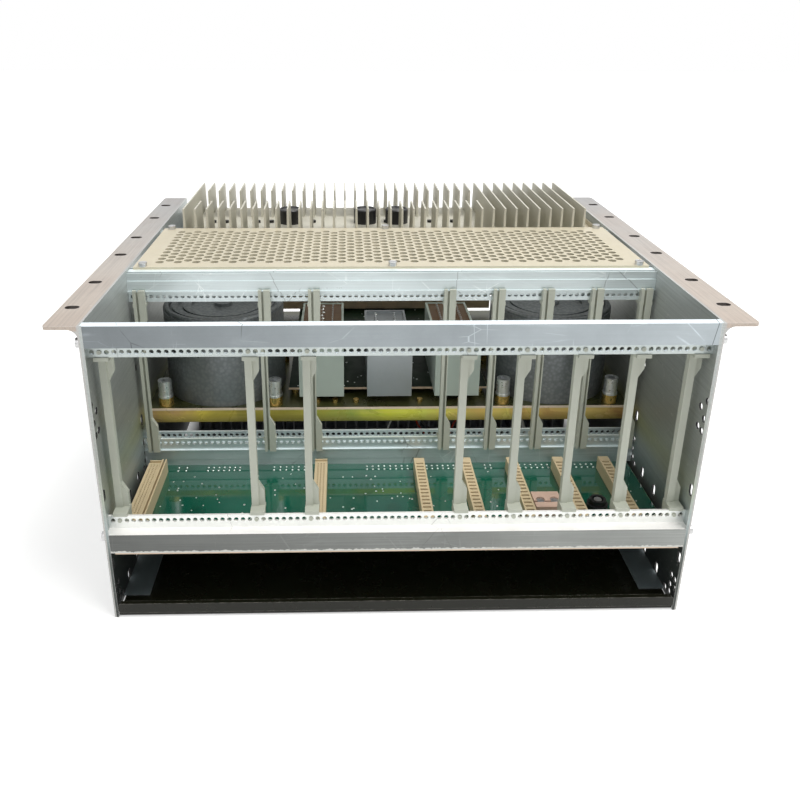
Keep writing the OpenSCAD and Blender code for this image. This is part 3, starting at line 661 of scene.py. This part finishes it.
# the folded seam down the front of each can
can_lo, can_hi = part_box("transformer_cans")
can_r = (can_hi[1] - can_lo[1]) / 2
can_y = (can_hi[1] + can_lo[1]) / 2
bm = bmesh.new()
for cx, turn in ((can_lo[0] + can_r, 252), (can_hi[0] - can_r, 254)):
    a = math.radians(turn)
    m = Matrix.Translation((cx + can_r * math.cos(a), can_y + can_r * math.sin(a), 0.1665))
    m = m @ Matrix.Rotation(a, 4, "Z") @ Matrix.Diagonal((0.0008, 0.0011, 0.029, 1.0))
    bmesh.ops.create_cube(bm, size=1.0, matrix=m)
piece("can_seams", bm, made["black_plastic"])


# an upright board closes the far end of the inner board, with greener parts on it
bm = bmesh.new()
box(bm, (-0.130, 0.186, inner_hi[2]), (0.130, 0.188, inner_hi[2] + 0.026))
piece("inner_board_upright", bm, made["board_dark"])
bm = bmesh.new()
for x in (-0.083, -0.035, -0.005, 0.03, 0.083):
    box(bm, (x - 0.009, 0.1815, inner_hi[2] + 0.003), (x + 0.009, 0.186, inner_hi[2] + 0.014))
piece("inner_board_parts", bm, made["board_green"])

# solder joints on the modules
bm = bmesh.new()
outer_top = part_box("module_lids")[1][2]
middle_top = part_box("middle_module")[1][2] - 0.002
for node, columns, r, top in (
    ("outer_modules", (-0.061, 0.061), 0.0019, outer_top),
    ("middle_module", (-0.009, 0.009), 0.0015, middle_top),
):
    lo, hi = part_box(node)
    for x in columns:
        for i in range(11):
            y = lo[1] + 0.010 + i * (hi[1] - lo[1] - 0.020) / 10
            dome(bm, x + random.uniform(-0.0006, 0.0006), y, top, r, 0.0018)
piece("module_joints", bm, solder, smooth=True)

# rows of soldered pins near the far end of the backplane: first and last x in millimetres
PIN_ROWS = [
    (-187, -180), (-161, -133), (-103, -76), (-21, 15),
    (32, 56), (84, 89), (115, 140), (160, 180)
]
bm = bmesh.new()
for first, last in PIN_ROWS:
    count = max(2, round((last - first) / HP) + 1)
    for i in range(count):
        for dy in (0.0, 0.005):
            x = (first + (last - first) * i / (count - 1)) * MM
            dome(bm, x, -0.0845 + dy, board_hi[2], 0.0011, 0.0008)
piece("backplane_pins", bm, solder, smooth=True)


def tube(bm, points, r, sides=8):
    """A wire along points, each given as a place in millimetres."""
    path = [Vector(p) * MM for p in points]
    line = []
    for i in range(len(path) - 1):
        p0, p1, p2, p3 = path[max(i - 1, 0)], path[i], path[i + 1], path[min(i + 2, len(path) - 1)]
        for k in range(6):
            t = k / 6
            line.append(0.5 * (2 * p1 + (p2 - p0) * t + (2 * p0 - 5 * p1 + 4 * p2 - p3) * t * t
                               + (3 * p1 - p0 - 3 * p2 + p3) * t ** 3))
    line.append(path[-1])
    rings = []
    for i, p in enumerate(line):
        ahead = (line[min(i + 1, len(line) - 1)] - line[max(i - 1, 0)]).normalized()
        u = ahead.cross(Vector((0.3, 1, 0.1))).normalized()
        v = ahead.cross(u)
        angles = [2 * math.pi * k / sides for k in range(sides)]
        rings.append([bm.verts.new(p + r * MM * (math.cos(t) * u + math.sin(t) * v)) for t in angles])
    for a, b in zip(rings, rings[1:]):
        for i in range(sides):
            j = (i + 1) % sides
            bm.faces.new((a[i], a[j], b[j], b[i]))
    bm.faces.new(rings[0][::-1])
    bm.faces.new(rings[-1])
    bmesh.ops.recalc_face_normals(bm, faces=bm.faces)


# the short wires in the gap below the deck: colour, then each run's points and radius
wires = {
    "white_wires": ((0.62, 0.62, 0.60), [
        ([(4, -46, 92), (1, -45, 84), (-3, -46, 72), (-5, -48, 61)], 0.8),
        ([(120, -44, 92), (123, -45, 84), (127, -46, 72), (129, -48, 61)], 1.7),
    ]),
    "red_wires": ((0.35, 0.04, 0.02), [
        ([(23, -46, 92), (27, -45, 82), (33, -45, 73), (38, -48, 61)], 0.8),
        ([(66, -46, 92), (60, -45, 84), (57, -45, 74), (52, -48, 61)], 0.8),
    ]),
    "dark_wires": ((0.03, 0.03, 0.03), [
        ([(28, -44, 92), (31, -43, 84), (39, -44, 76), (43, -48, 61)], 0.8),
        ([(70, -44, 92), (64, -43, 82), (60, -44, 73), (58, -48, 61)], 0.8),
    ]),
}
for name, (color, runs) in wires.items():
    bm = bmesh.new()
    for points, r in runs:
        tube(bm, points, r)
    piece(name, bm, moulded(name, color, 0.4), smooth=True)

# ---------------------------------------------------------------- stage, light and camera


def picture_rays(tree):
    """1 for the rays that see the background: camera, glossy and transmission."""
    path = tree.nodes.new("ShaderNodeLightPath")
    value = path.outputs["Is Camera Ray"]
    for ray in ("Is Glossy Ray", "Is Transmission Ray"):
        biggest = tree.nodes.new("ShaderNodeMath")
        biggest.operation = "MAXIMUM"
        tree.links.new(value, biggest.inputs[0])
        tree.links.new(path.outputs[ray], biggest.inputs[1])
        value = biggest.outputs[0]
    return value


scene = bpy.context.scene
scene.view_settings.view_transform = "Standard"

bpy.ops.mesh.primitive_plane_add(size=12, location=(0, 0, -0.0002))
floor = bpy.context.object
floor.name = "floor"
s = Shader("floor")
seen = picture_rays(s.tree)
# away is the distance outside the footprint: a painted shadow below the object, with a dark colour and
# no glow, and whiter far off
x = s.math("ABSOLUTE", s.axis(0))
y = s.math("ABSOLUTE", s.axis(1))
away = s.math("MAXIMUM", s.math("SUBTRACT", x, 0.235), s.math("SUBTRACT", y, 0.205))
clear = s.span(away, -0.032, -0.017)
far = s.span(away, 0.3, 2.5, 0.42, 0.9)
# painted shadow: the floor's own colour is dark inside the footprint
s.finish(s.mix(clear, (0.22, 0.24, 0.27), (0.86, 0.86, 0.85)), 0.9)
glow = s.node("ShaderNodeEmission")
glow.inputs["Color"].default_value = (1, 1, 1, 1)
s.link(s.math("MULTIPLY", seen, s.math("MULTIPLY", clear, far)), glow.inputs["Strength"])
total = s.node("ShaderNodeAddShader")
s.link(s.bsdf.outputs[0], total.inputs[0])
s.link(glow.outputs[0], total.inputs[1])
s.link(total.outputs[0], s.out.inputs[0])
floor.data.materials.append(s.mat)

world = bpy.data.worlds.new("studio")
scene.world = world
world.use_nodes = True
sky = world.node_tree
sky.nodes.clear()
mixer = sky.nodes.new("ShaderNodeMixShader")
sky.links.new(picture_rays(sky), mixer.inputs[0])
for place, color, strength in ((1, (0.97, 0.985, 1.0), 0.42), (2, (1, 1, 1), 1.0)):
    background = sky.nodes.new("ShaderNodeBackground")
    background.inputs["Color"].default_value = rgba(color)
    background.inputs["Strength"].default_value = strength
    sky.links.new(background.outputs[0], mixer.inputs[place])
out = sky.nodes.new("ShaderNodeOutputWorld")
sky.links.new(mixer.outputs[0], out.inputs[0])


def lamp(name, place, target, size, power, color=(1, 1, 1)):
    data = bpy.data.lights.new(name, "AREA")
    data.shape = "SQUARE"
    data.size = size
    data.energy = power
    data.color = color
    obj = bpy.data.objects.new(name, data)
    scene.collection.objects.link(obj)
    obj.location = place
    aim = Vector(target) - Vector(place)
    obj.rotation_euler = aim.to_track_quat("-Z", "Y").to_euler()


lamp("key", (0.8, -0.55, 2.1), (0, 0, 0.15), 1.2, 34, (1.0, 0.99, 0.97))
lamp("fill", (-1.2, -1.2, 1.3), (0, 0, 0.15), 1.2, 6)
lamp("back", (0.2, 1.4, 1.8), (0, 0, 0.2), 1.2, 9)

# the camera stands where the photograph was taken
yaw, pitch, roll = 0.0245, 0.3698, 0.0036
level = math.cos(pitch)
forward = Vector((math.sin(yaw) * level, math.cos(yaw) * level, -math.sin(pitch)))
right = Vector((math.cos(yaw), -math.sin(yaw), 0))
up = right.cross(forward)
right_rolled = math.cos(roll) * right + math.sin(roll) * up
up_rolled = -math.sin(roll) * right + math.cos(roll) * up
turn = Matrix((right_rolled, up_rolled, -forward)).transposed().to_4x4()
camera_data = bpy.data.cameras.new("camera")
camera_data.sensor_width = 36
camera_data.lens = 36.2176
camera_data.shift_x = 0.04662
camera_data.shift_y = -0.09316
camera_data.clip_start = 0.01
camera = bpy.data.objects.new("camera", camera_data)
scene.collection.objects.link(camera)
camera.matrix_world = Matrix.Translation((-0.04036, -0.70123, 0.43472)) @ turn
scene.camera = camera
